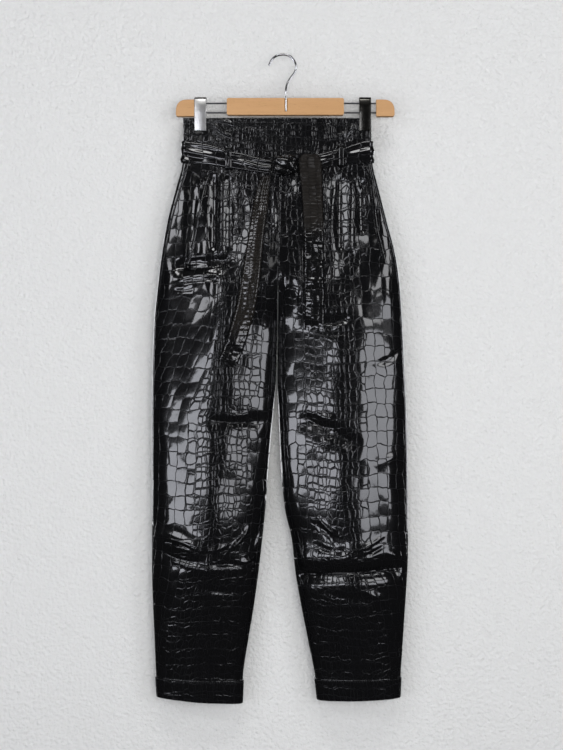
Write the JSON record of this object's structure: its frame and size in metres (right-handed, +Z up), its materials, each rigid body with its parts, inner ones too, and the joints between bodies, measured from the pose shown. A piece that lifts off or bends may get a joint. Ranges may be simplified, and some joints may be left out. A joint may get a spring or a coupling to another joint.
{
  "type": "leather trousers on a clip hanger",
  "caption": "High-waisted tapered trousers in glossy crocodile-embossed leather look with a tie belt, hung flat by the waist from a wooden clip hanger.",
  "frame": {"origin": "inside of the top of the hanger's hook, where a peg or rail holds it", "axes": "+X to the right as seen from the front, +Y towards the back of the trousers, +Z up; the front faces -Y"},
  "size_m": [0.4385, 0.0839, 1.1168],
  "materials": {
    "leather": "glossy black, embossed with crocodile scales",
    "leather_reverse": "duller black face of the belt's right free end, with small scales",
    "wood": "pale beech, satin lacquer",
    "steel": "plain bright rods",
    "chrome": "polished"
  },
  "bodies": {
    "root": {"front_left": "leather", "front_right": "leather", "back_left": "leather", "back_right": "leather", "waistband_front_left": "leather", "waistband_front_right": "leather", "waistband_back": "leather", "fly_underlap": "leather", "pocket_edge_left": "leather", "pocket_edge_right": "leather", "hem_left": "leather", "hem_right": "leather", "belt_band": "leather", "belt_knot": "leather", "belt_tail_left": "leather", "belt_tail_right": "leather_reverse", "belt_loop_front_left": "leather", "belt_loop_front_right": "leather", "belt_loop_back_left": "leather", "belt_loop_back_middle": "leather", "belt_loop_back_right": "leather", "hanger_bar": "wood", "hanger_cap_left": "wood", "hanger_cap_right": "wood", "hanger_rod_upper": "steel", "hanger_rod_lower": "steel", "hanger_clip_left": "chrome", "hanger_clip_right": "chrome", "hanger_hook": "chrome"}
  },
  "joints": []
}
